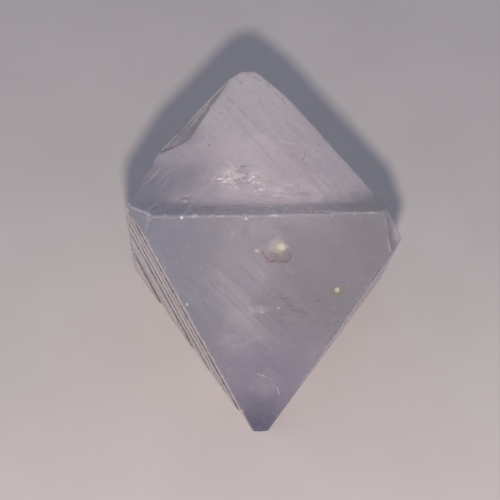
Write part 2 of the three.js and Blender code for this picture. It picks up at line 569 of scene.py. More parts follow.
def clear_of(places, lines, gap):
    """Which places are at least a gap away from every point of the lines."""
    taken = {}
    for line in lines:
        for point in line:
            taken.setdefault((int(point[0] // gap), int(point[1] // gap)), []).append(point)
    clear = []
    for place in places:
        i, j = int(place[0] // gap), int(place[1] // gap)
        near = [p for di in (-1, 0, 1) for dj in (-1, 0, 1) for p in taken.get((i + di, j + dj), [])]
        clear.append(all(math.hypot(place[0] - p[0], place[1] - p[1]) > gap for p in near))
    return np.array(clear, dtype=bool)


def ledge_lines(spacing):
    """Points along each thin wall of the ledge."""
    x = np.arange(LEDGE_LEFT + 0.15, LEDGE_RIGHT - 0.15, spacing)
    level = np.full(len(x), DISTANCE["top"])
    return [np.column_stack([x, ledge_step(x, part), level]) for part, _ in LEDGE_WALLS]


def feature_lines(name, spacing):
    """The lines of a face along which its relief has a sudden step."""
    lines = []
    if name in FACE_STEPS:
        lines += riser_lines(name, spacing)
    if name == "top":
        lines += ledge_lines(spacing)
        wall_run = np.array([-FLAKE_WALL[1], FLAKE_WALL[0], 0])
        reach = np.arange(-2.5, 0.3, spacing)
        end = FLAKE_END + np.array([0, 0, DISTANCE["top"]])
        lines.append(end + np.outer(reach, wall_run))
    return lines


def mesh_object(name, points, faces, smooth=True):
    """A new object in the scene from points in metres and faces."""
    mesh = bpy.data.meshes.new(name)
    mesh.from_pydata([tuple(p) for p in points], [], faces)
    mesh.validate()
    mesh.update()
    for polygon in mesh.polygons:
        polygon.use_smooth = smooth
    piece = bpy.data.objects.new(name, mesh)
    bpy.context.scene.collection.objects.link(piece)
    return piece


def in_frame(points):
    """Places in millimetres about the ideal centre, as places in metres in the frame."""
    return np.asarray(points) * MM + np.array(CENTRE_IN_FRAME)


def build_crystal(sizes):
    """The finished crystal as one closed mesh, with its broken, dirty and rim places marked on it."""
    grid = SurfaceGrid(sizes.grid / MM)
    for index in range(len(NORMALS)):
        grid.add_face(index)
    flat_points = np.array(grid.points)
    finished, rim_gap = surface_radius(flat_points, sizes)
    finished[:, 2] = np.maximum(finished[:, 2], -DISTANCE["resting"])
    crystal = mesh_object("crystal", in_frame(finished), grid.triangles)
    mark_broken(crystal.data)
    mark_crevices(crystal.data, flat_points)
    keep_on_points(crystal.data, "rim", 1 - rim_gap / RIM_WIDTH)
    return crystal


def keep_on_points(mesh, name, values):
    """Stores one number for each point of a mesh, for its material to read."""
    layer = mesh.attributes.new(name, "FLOAT", "POINT")
    layer.data.foreach_set("value", np.clip(values, 0, 1).astype(np.float32))


def mark_broken(mesh):
    """Marks how far each point's surface is turned from the nearest flat face."""
    vertex_normals = np.zeros(len(mesh.vertices) * 3)
    mesh.vertices.foreach_get("normal", vertex_normals)
    alike = vertex_normals.reshape(-1, 3) @ NORMALS.T
    keep_on_points(mesh, "broken", (1 - alike.max(axis=1)) / 0.12)


def mark_crevices(mesh, flat_points):
    """Marks the points along the left face's risers and the ledge's walls, where dirt gathers."""
    samples = [p for line in riser_lines("left", 0.05) for p in line]
    samples += [p for line in ledge_lines(0.05) for p in line]
    tree = KDTree(len(samples))
    for number, sample in enumerate(samples):
        tree.insert(sample, number)
    tree.balance()
    gaps = np.array([tree.find(Vector(point))[2] for point in flat_points])
    keep_on_points(mesh, "crevice", 1 - gaps / CREVICE_WIDTH)


# ------------------------------------------------------------------ pieces sealed in the crystal
# Milky veils: name, the face they lie parallel to, centre, reach along and across, in millimetres.
VEILS = [
    ("veil_under_front", "front", (-1.5, -7.6, 4.6), (4.2, 3.4)),
    ("veil_low_front", "front", (-1.6, -10.2, -1.4), (2.6, 3.2)),
    ("veil_slanting_left", "left", (-2.2, -8.2, 1.4), (5.0, 3.0)),
    ("veil_slanting_right", "right", (1.6, -7.4, 2.6), (5.4, 3.2)),
    ("veil_under_top", "top", (1.0, 1.0, 9.2), (6.4, 5.0)),
    ("veil_deep", "top", (0.5, -2.0, 2.0), (8.0, 6.0)),
    ("veil_rear", "back", (-1.0, 6.5, -2.5), (6.0, 5.0)),
]
VEIL_THICKNESS = 0.03
SEALED_MARGIN = 0.3


def sealed_reach(centre, ways, margin):
    """How far each way can run from a centre before it comes too near the crystal's surface."""
    room = DISTANCES - margin - NORMALS @ centre
    rates = ways @ NORMALS.T
    return np.where(rates > 1e-6, room / np.clip(rates, 1e-6, None), 99).min(axis=1)


def build_veil(name, face, centre, reach):
    """A thin, ragged, slightly wavy sheet inside the crystal."""
    spokes, rings = 60, 12
    normal = NORMAL[face]
    along, across = face_axes(face)
    centre = np.array(centre)
    turns = np.linspace(0, 2 * math.pi, spokes, endpoint=False)
    ways = np.outer(np.cos(turns), along * reach[0]) + np.outer(np.sin(turns), across * reach[1])
    tips = centre + ways
    ragged = 0.8 + 0.35 * value_noise(tips, 1.3, 60) + 0.15 * value_noise(tips, 0.4, 61)
    lengths = np.linalg.norm(ways, axis=1)
    farthest = sealed_reach(centre, ways / lengths[:, None], SEALED_MARGIN)
    ends = np.minimum(lengths * ragged, farthest) / lengths
    sides = []
    for side in (0.5, -0.5):
        points = [centre + normal * VEIL_THICKNESS * side]
        for ring in range(1, rings + 1):
            share = ring / rings
            flat = centre + ways * (ends * share)[:, None]
            wave = 0.06 * value_noise(flat, 0.8, 62) + VEIL_THICKNESS * side * (1 - 0.8 * share)
            points += list(flat + np.outer(wave, normal))
        sides.append(points)
    return sheet_mesh(name, sides, spokes, rings)


def sheet_mesh(name, sides, spokes, rings):
    """A closed mesh from the two sides of a round sheet, each a centre and its rings."""
    size = len(sides[0])
    faces = []
    for i in range(spokes):
        j = (i + 1) % spokes
        faces += [(0, 1 + i, 1 + j), (size, size + 1 + j, size + 1 + i)]
        for ring in range(rings - 1):
            a, b = 1 + ring * spokes + i, 1 + ring * spokes + j
            faces.append((a, a + spokes, b + spokes, b))
            faces.append((size + b, size + b + spokes, size + a + spokes, size + a))
        a, b = 1 + (rings - 1) * spokes + i, 1 + (rings - 1) * spokes + j
        faces.append((a, size + a, size + b, b))
    return mesh_object(name, in_frame(sides[0] + sides[1]), faces)


# Clusters of small crack plates: name, face they lie under, centre, spread, number, plate size.
CRACKS = [
    ("cracks_top_left", "top", (-2.3, -2.3, 10.0), (1.3, 0.9), 34, 0.34),
    ("cracks_top_right", "top", (2.0, -3.7, 10.0), (1.9, 0.6), 30, 0.30),
    ("cracks_front_low", "front", (-2.3, -10.8, -1.1), (1.4, 1.0), 34, 0.26),
    ("cracks_front_middle", "front", (-0.2, -9.7, 1.7), (1.6, 0.35), 18, 0.16),
]
PLATE_THICKNESS = 0.02


def build_cracks(name, face, centre, spread, count, size, rng):
    """A cluster of small, thin, tilted plates as one mesh."""
    along, across = face_axes(face)
    points, faces = [], []
    for _ in range(count):
        offset = rng.normal(0, 0.5, 2) * spread
        depth = rng.uniform(0, 0.5)
        middle = np.array(centre) + along * offset[0] + across * offset[1] - NORMAL[face] * depth
        tilt = NORMAL[face] + rng.normal(0, 0.35, 3)
        tilt /= np.linalg.norm(tilt)
        first = np.cross(tilt, rng.normal(0, 1, 3))
        first /= np.linalg.norm(first)
        second = np.cross(tilt, first)
        corners = rng.integers(3, 6)
        turns = np.sort(rng.uniform(0, 2 * math.pi, corners)) + np.arange(corners) * 0.02
        radius = size * rng.uniform(0.3, 1.0, corners)
        start = len(points)
        for side in (0.5, -0.5):
            for turn, far in zip(turns, radius):
                flat = first * math.cos(turn) * far + second * math.sin(turn) * far * 0.7
                points.append(middle + flat + tilt * side * PLATE_THICKNESS)
        faces.append([start + i for i in range(corners)])
        faces.append([start + corners + i for i in reversed(range(corners))])
        for i in range(corners):
            j = (i + 1) % corners
            faces.append([start + j, start + i, start + corners + i, start + corners + j])
    return mesh_object(name, in_frame(points), faces, smooth=False)


# Sealed grains: name, centre and radius.
GRAINS = [
    ("grain_straw", (1.5, -7.5, 7.0), 0.34),
    ("grain_green", (6.6, -8.7, 3.1), 0.24),
]


def build_grain(name, centre, radius):
    """A rough little grain."""
    ball = bmesh.new()
    bmesh.ops.create_icosphere(ball, subdivisions=4, radius=1)
    directions = np.array([vertex.co[:] for vertex in ball.verts])
    bumps = 1 + 0.35 * value_noise(directions, 0.7, 70) + 0.12 * value_noise(directions, 0.25, 71)
    for vertex, way, bump in zip(ball.verts, directions, bumps):
        vertex.co = Vector(way * bump * radius * MM) + Vector(in_frame(centre))
    mesh = bpy.data.meshes.new(name)
    ball.to_mesh(mesh)
    ball.free()
    piece = bpy.data.objects.new(name, mesh)
    bpy.context.scene.collection.objects.link(piece)
    return piece


def seal_in(piece, material):
    """Gives a sealed piece its material, and lets it move and be listed with the crystal."""
    piece.data.materials.append(material)
    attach(piece, "root")


# ------------------------------------------------------------------ nodes
def set_input(tree, socket, value):
    """Joins a socket to another, or sets its plain value."""
    if isinstance(value, bpy.types.NodeSocket):
        tree.links.new(value, socket)
    else:
        socket.default_value = value


def add_node(tree, kind, inputs=None, **settings):
    """A new node with its settings, and its inputs joined or set by name or number."""
    node = tree.nodes.new(kind)
    for name, value in settings.items():
        setattr(node, name, value)
    for name, value in (inputs or {}).items():
        set_input(tree, node.inputs[name], value)
    return node


def arithmetic(tree, operation, *values, clamp=False):
    inputs = dict(enumerate(values))
    return add_node(tree, "ShaderNodeMath", inputs, operation=operation, use_clamp=clamp).outputs[0]


def vector_arithmetic(tree, operation, *values):
    node = add_node(tree, "ShaderNodeVectorMath", dict(enumerate(values)), operation=operation)
    return node.outputs["Value" if operation in ("LENGTH", "DOT_PRODUCT") else "Vector"]


def scaled(tree, vector, amount):
    node = add_node(tree, "ShaderNodeVectorMath", {"Vector": vector, "Scale": amount}, operation="SCALE")
    return node.outputs["Vector"]


def rest_of(tree, share):
    """What a share leaves of 1."""
    return arithmetic(tree, "SUBTRACT", 1.0, share)


def between(tree, value, low, high, out_low=0.0, out_high=1.0):
    """A value brought from one range to another along a smooth curve."""
    node = add_node(
        tree, "ShaderNodeMapRange",
        {"Value": value, "From Min": low, "From Max": high, "To Min": out_low, "To Max": out_high},
        interpolation_type="SMOOTHSTEP")
    return node.outputs["Result"]


def blend_colour(tree, share, first, second):
    node = add_node(tree, "ShaderNodeMix", data_type="RGBA")
    for number, value in ((0, share), (6, first), (7, second)):
        set_input(tree, node.inputs[number], value)
    return node.outputs[2]


def noise_pattern(tree, place, scale, detail=3.0, roughness=0.55, distortion=0.0):
    node = add_node(tree, "ShaderNodeTexNoise", {
        "Vector": place, "Scale": scale, "Detail": detail, "Roughness": roughness,
        "Distortion": distortion})
    return node.outputs["Fac"]


def rgba(colour):
    return (colour[0], colour[1], colour[2], 1.0)


def new_group(name, inputs, outputs):
    """A shader node group and its input and output nodes. Inputs give name: (socket, default)."""
    group = bpy.data.node_groups.new(name, "ShaderNodeTree")
    for socket, (kind, default) in inputs.items():
        made = group.interface.new_socket(name=socket, in_out="INPUT", socket_type=kind)
        made.default_value = default
    for socket, kind in outputs.items():
        group.interface.new_socket(name=socket, in_out="OUTPUT", socket_type=kind)
    return group, group.nodes.new("NodeGroupInput"), group.nodes.new("NodeGroupOutput")


def crystal_place(tree):
    """Places in millimetres about the ideal centre."""
    place = add_node(tree, "ShaderNodeTexCoord").outputs["Object"]
    centred = vector_arithmetic(tree, "SUBTRACT", place, tuple(CENTRE_IN_FRAME))
    return vector_arithmetic(tree, "MULTIPLY", centred, (1 / MM,) * 3)


def soft_zone_group():
    """A ragged soft blob: 1 at its centre and 0 past its reach."""
    group, taken, given = new_group(
        "soft_zone",
        {"Centre": ("NodeSocketVector", (0, 0, 0)), "Reach": ("NodeSocketVector", (1, 1, 1)),
         "Cloud": ("NodeSocketFloat", 0.5), "Raggedness": ("NodeSocketFloat", 0.3)},
        {"Mask": "NodeSocketFloat"})
    offset = vector_arithmetic(group, "SUBTRACT", crystal_place(group), taken.outputs["Centre"])
    share = vector_arithmetic(group, "DIVIDE", offset, taken.outputs["Reach"])
    away = vector_arithmetic(group, "LENGTH", share)
    cloud = arithmetic(group, "SUBTRACT", taken.outputs["Cloud"], 0.5)
    wander = arithmetic(group, "MULTIPLY", cloud, taken.outputs["Raggedness"])
    mask = between(group, arithmetic(group, "ADD", away, wander), 1.0, 0.15)
    group.links.new(mask, given.inputs["Mask"])
    return group


def thin_line_group():
    """A thin line from one place to another, that wanders and breaks off a little."""
    group, taken, given = new_group(
        "thin_line",
        {"Start": ("NodeSocketVector", (0, 0, 0)), "End": ("NodeSocketVector", (1, 0, 0)),
         "Width": ("NodeSocketFloat", 0.1), "Wander": ("NodeSocketFloat", 0.3),
         "Push": ("NodeSocketVector", (0.5, 0.5, 0.5)), "Cloud": ("NodeSocketFloat", 0.5)},
        {"Mask": "NodeSocketFloat"})
    place = crystal_place(group)
    push = vector_arithmetic(group, "SUBTRACT", taken.outputs["Push"], (0.5, 0.5, 0.5))
    pushed = vector_arithmetic(group, "ADD", place, scaled(group, push, taken.outputs["Wander"]))
    offset = vector_arithmetic(group, "SUBTRACT", pushed, taken.outputs["Start"])
    run = vector_arithmetic(group, "SUBTRACT", taken.outputs["End"], taken.outputs["Start"])
    length = vector_arithmetic(group, "DOT_PRODUCT", run, run)
    reach = vector_arithmetic(group, "DOT_PRODUCT", offset, run)
    share = arithmetic(group, "DIVIDE", reach, length, clamp=True)
    nearest = scaled(group, run, share)
    away = vector_arithmetic(group, "LENGTH", vector_arithmetic(group, "SUBTRACT", offset, nearest))
    core = arithmetic(group, "MULTIPLY", taken.outputs["Width"], 0.3)
    line = between(group, away, taken.outputs["Width"], core)
    gaps = between(group, taken.outputs["Cloud"], 0.36, 0.5, 0.25, 1.0)
    group.links.new(arithmetic(group, "MULTIPLY", line, gaps), given.inputs["Mask"])
    return group


def near_face_group():
    """1 close under one flat face and 0 deeper inside."""
    group, taken, given = new_group(
        "near_face",
        {"Normal": ("NodeSocketVector", (0, 0, 1)), "Distance": ("NodeSocketFloat", 10.0),
         "Depth": ("NodeSocketFloat", 0.5)},
        {"Mask": "NodeSocketFloat"})
    place = crystal_place(group)
    height = vector_arithmetic(group, "DOT_PRODUCT", place, taken.outputs["Normal"])
    below = arithmetic(group, "SUBTRACT", taken.outputs["Distance"], height)
    full_depth = arithmetic(group, "MULTIPLY", taken.outputs["Depth"], 0.6)
    group.links.new(between(group, below, taken.outputs["Depth"], full_depth), given.inputs["Mask"])
    return group


def streaks_group():
    """Fine straight streaks that run one way, as cleavage lines do."""
    group, taken, given = new_group(
        "cleavage_streaks",
        {"Along": ("NodeSocketVector", (1, 0, 0)), "Fineness": ("NodeSocketFloat", 1.0),
         "Length": ("NodeSocketFloat", 8.0), "Cover": ("NodeSocketFloat", 0.4)},
        {"Mask": "NodeSocketFloat", "Height": "NodeSocketFloat"})
    place = crystal_place(group)
    reach = vector_arithmetic(group, "DOT_PRODUCT", place, taken.outputs["Along"])
    shortened = arithmetic(group, "DIVIDE", reach, taken.outputs["Length"])
    shift = scaled(group, taken.outputs["Along"], arithmetic(group, "SUBTRACT", shortened, reach))
    stretched = vector_arithmetic(group, "ADD", place, shift)
    lines = noise_pattern(group, stretched, taken.outputs["Fineness"], 4.0, 0.65)
    edge = arithmetic(group, "SUBTRACT", 0.72, arithmetic(group, "MULTIPLY", taken.outputs["Cover"], 0.4))
    mask = between(group, lines, edge, arithmetic(group, "ADD", edge, 0.1))
    group.links.new(mask, given.inputs["Mask"])
    group.links.new(lines, given.inputs["Height"])
    return group


def clouds_group():
    """Soft milky clouds."""
    group, taken, given = new_group(
        "milky_clouds",
        {"Fineness": ("NodeSocketFloat", 0.3), "Low": ("NodeSocketFloat", 0.35),
         "High": ("NodeSocketFloat", 0.7)},
        {"Mask": "NodeSocketFloat"})
    place = crystal_place(group)
    cloud = noise_pattern(group, place, taken.outputs["Fineness"], 3.0, 0.5, 0.3)
    mask = between(group, cloud, taken.outputs["Low"], taken.outputs["High"])
    group.links.new(mask, given.inputs["Mask"])
    return group


def crack_facets_group():
    """Little flat facets, each tilted forward by its own amount, as in a crumpled crack."""
    group, taken, given = new_group(
        "crack_facets",
        {"Fineness": ("NodeSocketFloat", 2.0), "Tilt": ("NodeSocketFloat", 1.0),
         "Share": ("NodeSocketFloat", 0.4)},
        {"Mask": "NodeSocketFloat", "Height": "NodeSocketFloat"})
    ragged = add_node(
        group, "ShaderNodeTexNoise", {"Vector": crystal_place(group), "Scale": 1.5, "Detail": 2.0})
    push = vector_arithmetic(group, "MULTIPLY", ragged.outputs["Color"], (0.5, 0.5, 0.5))
    place = vector_arithmetic(group, "ADD", crystal_place(group), push)
    place = vector_arithmetic(group, "MULTIPLY", place, (0.6, 1.0, 1.0))
    cells = add_node(group, "ShaderNodeTexVoronoi", {"Vector": place, "Scale": taken.outputs["Fineness"]})
    offset = vector_arithmetic(group, "SUBTRACT", place, cells.outputs["Position"])
    tilt = vector_arithmetic(group, "SUBTRACT", cells.outputs["Color"], (0.5, 0.0, 0.0))
    tilt = vector_arithmetic(group, "MULTIPLY", tilt, (0.4, 1.0, -1.0))
    slope = vector_arithmetic(group, "DOT_PRODUCT", offset, tilt)
    chance = add_node(group, "ShaderNodeSeparateColor", {"Color": cells.outputs["Color"]}).outputs["Red"]
    node = add_node(group, "ShaderNodeMapRange", {
        "Value": chance, "From Min": taken.outputs["Share"],
        "From Max": arithmetic(group, "MULTIPLY", taken.outputs["Share"], 0.6)})
    group.links.new(node.outputs["Result"], given.inputs["Mask"])
    group.links.new(arithmetic(group, "MULTIPLY", slope, taken.outputs["Tilt"]), given.inputs["Height"])
    return group


GROUP_MAKERS = {
    "soft_zone": soft_zone_group,
    "near_face": near_face_group,
    "thin_line": thin_line_group,
    "cleavage_streaks": streaks_group,
    "milky_clouds": clouds_group,
    "crack_facets": crack_facets_group,
}


def place_group(tree, name, **inputs):
    """A node group in a material, made the first time it is asked for."""
    group = bpy.data.node_groups.get(name) or GROUP_MAKERS[name]()
    node = add_node(tree, "ShaderNodeGroup", node_tree=group)
    for socket, value in inputs.items():
        set_input(tree, node.inputs[socket], value)
    return node


def new_material(name):
    """An empty node material, its tree, its surface shader and its output."""
    material = bpy.data.materials.new(name)
    material.use_nodes = True
    tree = material.node_tree
    shader = next(node for node in tree.nodes if node.type == "BSDF_PRINCIPLED")
    output = next(node for node in tree.nodes if node.type == "OUTPUT_MATERIAL")
    return material, tree, shader, output


# ------------------------------------------------------------------ materials
# Colour zones of the crystal: colour, centre, reach, strength and raggedness, in millimetres about
# the ideal centre. Later zones lie over earlier ones. Some are partly painted reflection and shade
# inside the crystal, as marked below.
COLOUR_SHADE_AND_REFLECTION_ZONES = [
    ("pink", (1.0, 3.0, 10.4), (13.5, 13.5, 6.0), 0.82, 0.7),
    ("pink", (-1.0, 10.5, 10.4), (6.0, 7.5, 4.0), 1.0, 0.3),
    ("milk", (6.5, 0.5, 10.4), (8.0, 8.0, 3.0), 0.35, 0.6),
    # Painted shade: the slate over the top's front left is partly the crystal's colour, partly shade inside
    # it.
    ("warm", (12.0, -6.4, 10.4), (8.6, 6.4, 3.0), 1.0, 0.6),
    ("slate", (-11.0, -5.0, 10.4), (8.4, 6.8, 3.4), 0.85, 0.8),
    ("slate", (-7.4, -1.4, 10.4), (4.6, 4.6, 2.6), 0.3, 1.0),
    # Painted reflection: the slate strip down the front's left is partly the crystal's colour, partly
    # reflection inside it.
    ("slate", (-7.6, 4.6, 10.2), (2.6, 4.5, 2.0), 0.7, 0.8),
    ("slate", (-9.6, -8.2, 8.2), (7.6, 3.6, 7.6), 1.0, 0.8),
    # Painted reflection: the warm grey on the front's right is partly the crystal's colour, partly
    # reflection inside it.
    ("slate", (-6.4, -10.0, 2.0), (5.0, 3.6, 7.6), 0.9, 0.8),
    ("warm", (10.4, -7.4, 7.4), (11.0, 4.4, 9.4), 1.0, 0.8),
    ("warm", (5.4, -9.8, 1.6), (6.6, 3.8, 7.2), 0.9, 0.8),
    ("violet", (-3.2, -11.4, -2.0), (5.0, 3.4, 5.0), 0.55, 0.8),
    # Painted reflection: the deep slate of the lower tip is partly the crystal's colour, partly reflection
    # inside it.
    ("violet", (0.8, -12.4, -5.4), (9.0, 7.4, 8.4), 1.0, 0.8),
    ("deep", (0.0, -14.4, -10.4), (5.4, 4.6, 6.2), 1.0, 0.5),
    ("slate", (-2.0, -6.5, 10.3), (12.5, 2.0, 1.2), 0.35, 0.3),
]

# Pale patches painted over the zones as glows of light inside the milky crystal: colour, centre, reach and
# strength.
PAINTED_GLOWS = [
    ("milk", (-1.6, -8.6, 5.6), (4.2, 3.2, 4.2), 0.9),
    ("milk", (-2.6, -9.8, 2.6), (4.2, 3.2, 4.0), 0.35),
    ("milk", (-2.6, -11.2, -1.6), (2.4, 1.8, 2.0), 0.6),
    ("milk", (0.2, -10.6, -0.2), (2.4, 1.8, 2.4), 0.3),
    ("pink", (12.3, -6.0, 8.0), (1.8, 1.8, 3.5), 0.7),
    ("milk", (0.5, -12.5, -5.6), (1.8, 1.4, 2.0), 0.6),
    ("pink", (-1.9, -2.8, 10.4), (2.8, 2.2, 1.2), 0.6),
    ("pink", (2.4, -3.4, 10.4), (4.2, 1.8, 1.2), 0.3),
]

# Clusters of bright cracks just under the surface, where glints are painted on crumpled facets: centre,
# reach and strength.
BRIGHT_CLUSTERS = [
    ((-2.3, -2.3, 10.3), (2.8, 2.3, 1.0), 1.0),
    ((1.4, -3.9, 10.3), (4.2, 1.3, 1.0), 0.55),
    ((-2.4, -11.2, -1.0), (2.2, 1.4, 1.8), 0.14),
    ((-0.2, -10.0, 1.5), (2.2, 1.2, 0.7), 0.2),
]

# Ways along which the streaks run.
RIDGE_WAY = tuple(np.cross(NORMAL["top"], NORMAL["front"]))
TOP_RIGHT_WAY = (0.5, -0.866, 0.0)
TOP_LEFT_WAY = (0.5, 0.866, 0.0)
FRONT_SLANT_WAY = (0.69, -0.21, -0.69)
RIGHT_SLOPE_WAY = (0.5, -0.289, -0.816)
LEFT_SLOPE_WAY = (-0.5, -0.289, -0.816)
REAR_SLOPE_WAY = (0.0, 0.577, -0.816)

# Streaks: colour, the way they run, fineness, length, cover, strength, and the centre and reach of
# where they show.
STREAKS = [
    ("frost", REAR_SLOPE_WAY, 0.9, 12.0, 0.5, 0.4, (0.0, 7.0, 0.0), (22.0, 9.0, 18.0)),
    ("violet", LEFT_SLOPE_WAY, 0.7, 9.0, 0.45, 0.4, (2.0, 9.0, -2.0), (20.0, 9.0, 16.0)),
    ("slate", RIGHT_SLOPE_WAY, 1.4, 16.0, 0.4, 0.35, (0.0, 9.0, 0.0), (20.0, 9.0, 16.0)),
    ("warm", TOP_RIGHT_WAY, 1.3, 12.0, 0.40, 0.2, (-1.0, 9.0, 10.4), (6.0, 9.0, 2.0)),
    ("frost", TOP_LEFT_WAY, 1.0, 14.0, 0.5, 0.6, (-0.5, 8.0, 10.4), (6.5, 9.0, 2.0)),
    ("frost", TOP_RIGHT_WAY, 1.9, 14.0, 0.55, 0.28, (4.5, -2.0, 10.4), (7.5, 6.0, 2.0)),
    ("milk", TOP_RIGHT_WAY, 1.2, 16.0, 0.6, 0.15, (2.0, 2.0, 10.4), (12.0, 12.0, 2.0)),
    ("pink", TOP_LEFT_WAY, 2.2, 14.0, 0.45, 0.35, (-8.0, -2.5, 10.4), (7.0, 7.0, 2.0)),
    ("pink", FRONT_SLANT_WAY, 0.55, 7.0, 0.7, 0.08, (-2.0, -9.6, 2.0), (9.0, 4.5, 10.0)),
    ("pink", FRONT_SLANT_WAY, 1.5, 22.0, 0.5, 0.07, (-2.0, -9.6, 2.0), (7.0, 4.5, 9.0)),
    ("deep", FRONT_SLANT_WAY, 2.1, 24.0, 0.42, 0.18, (-1.0, -10.2, 0.5), (8.0, 4.5, 10.0)),
    ("deep", RIDGE_WAY, 3.2, 7.0, 0.38, 0.5, (5.0, -10.0, 1.5), (6.5, 3.0, 4.6)),
]

# Single lines: colour, start, end, width, wander and strength.
LINES = [
    ("rust", (-0.1, -8.2, 6.9), (0.4, -8.5, 6.0), 0.14, 0.5, 0.9),
    ("rust", (0.4, -8.5, 6.0), (2.3, -8.4, 6.0), 0.14, 0.6, 1.0),
    ("rust", (2.3, -8.4, 6.0), (2.3, -8.1, 6.9), 0.12, 0.4, 0.9),
    ("rust", (-0.1, -8.2, 6.9), (1.2, -8.2, 6.7), 0.1, 0.4, 0.6),
    ("slate", (-6.1, -8.9, 5.7), (-0.2, -10.7, -0.2), 0.12, 0.2, 0.5),
    ("violet", (-2.4, -8.6, 5.9), (1.2, -9.9, 2.2), 0.10, 0.2, 0.5),
    ("violet", (5.2, -9.6, 2.5), (7.4, -9.5, 2.5), 0.07, 0.3, 0.6),
    ("violet", (3.6, -9.8, 1.6), (6.9, -9.8, 1.2), 0.06, 0.4, 0.6),
    ("frost", (-0.4, -12.2, -4.4), (1.4, -12.5, -5.2), 0.09, 0.4, 0.6),
    ("frost", (1.4, -12.5, -5.2), (1.9, -12.9, -6.6), 0.08, 0.4, 0.5),
    ("warm", (-3.7, 9.6, 10.4), (-1.8, 6.7, 10.4), 0.16, 0.7, 0.3),
    ("slate", (-3.1, 12.9, 10.4), (-1.9, 11.0, 10.4), 0.12, 0.6, 0.5),
    ("warm", (-1.4, 12.5, 10.4), (0.5, 11.0, 10.4), 0.14, 0.7, 0.35),
    ("warm", (0.5, 11.0, 10.4), (2.1, 8.2, 10.4), 0.14, 0.7, 0.3),
    ("warm", (-0.8, 9.8, 10.4), (0.4, 6.9, 10.4), 0.14, 0.8, 0.3),
    ("warm", (4.0, 1.7, 10.4), (3.5, 0.1, 10.4), 0.13, 0.5, 0.4),
    ("warm", (5.0, 2.4, 10.4), (6.6, 2.0, 10.4), 0.13, 0.5, 0.45),
    # Painted glints: short violet white streaks on the top.
    ("glint", (1.6, 2.8, 10.4), (2.6, 2.5, 10.4), 0.28, 0.8, 0.8),
    ("glint", (5.1, -1.8, 10.4), (6.0, -3.0, 10.4), 0.16, 0.5, 0.7),
    ("glint", (4.1, -3.2, 10.4), (5.0, -4.6, 10.4), 0.14, 0.5, 0.7),
    ("slate", (-0.4, 11.6, 10.4), (2.2, 9.8, 10.4), 0.08, 0.5, 0.4),
    ("frost", (-3.4, 10.9, 10.4), (-0.6, 5.0, 10.4), 0.10, 0.4, 0.4),
    # Painted light rim: a frosted light line along the top's right edge.
    ("frost", (2.0, 11.4, 10.3), (11.4, -5.2, 10.3), 0.28, 0.3, 0.55),
]

# Small spots: colour, centre, radius and strength. The darker ones are dirt in pin-holes.
SPOTS = [
    ("rust", (1.1, -8.35, 6.45), 1.3, 0.3),
    ("straw", (1.2, -8.0, 7.3), 1.2, 0.35),
    ("straw", (1.6, -8.0, 7.3), 0.7, 0.8),
    ("straw", (-0.6, -8.2, 7.0), 0.30, 0.6),
    ("moss", (6.7, -9.2, 3.3), 1.0, 1.0),
    ("straw", (6.7, -9.2, 3.3), 0.34, 0.9),
    ("dirt", (-4.8, 7.5, 10.4), 0.20, 0.7),
    ("dirt", (-3.8, 6.8, 10.4), 0.16, 0.6),
    ("dirt", (-4.9, 2.1, 10.4), 0.17, 0.7),
    ("dirt", (5.0, 3.9, 10.4), 0.15, 0.6),
    # Painted sparkles: the three frosted spots low on the front.
    ("frost", (-1.1, -10.1, 1.7), 0.18, 0.6),
    ("frost", (0.0, -10.2, 1.3), 0.20, 0.6),
    ("frost", (1.5, -10.0, 1.7), 0.18, 0.6),
    ("frost", (-6.7, -10.1, 2.1), 0.20, 0.9),
    ("frost", (-7.0, -5.5, 10.3), 0.26, 1.0),
]


def near_plane(tree, normal, distance, depth):
    """A mask of what lies just under a plane."""
    node = place_group(tree, "near_face", Normal=tuple(normal), Distance=float(distance), Depth=depth)
    return node.outputs["Mask"]


def near_face(tree, name, depth):
    """A mask of what lies just under one of the flat faces."""
    return near_plane(tree, NORMAL[name], DISTANCE[name], depth)


def streaks(tree, way, fineness, length, cover, output="Mask"):
    node = place_group(
        tree, "cleavage_streaks", Along=way, Fineness=fineness, Length=length, Cover=cover)
    return node.outputs[output]


def milky_clouds(tree, fineness, low, high):
    return place_group(tree, "milky_clouds", Fineness=fineness, Low=low, High=high).outputs["Mask"]


def mark(tree, name):
    """How strongly each place of the mesh bears a mark that was stored on its points."""
    return add_node(tree, "ShaderNodeAttribute", attribute_name=name).outputs["Fac"]


def soft_zone(tree, cloud, centre, reach, raggedness):
    node = place_group(tree, "soft_zone", Centre=centre, Reach=reach, Cloud=cloud, Raggedness=raggedness)
    return node.outputs["Mask"]


def times(tree, *values):
    """Several masks and strengths multiplied together."""
    product = values[0]
    for value in values[1:]:
        product = arithmetic(tree, "MULTIPLY", product, value)
    return product


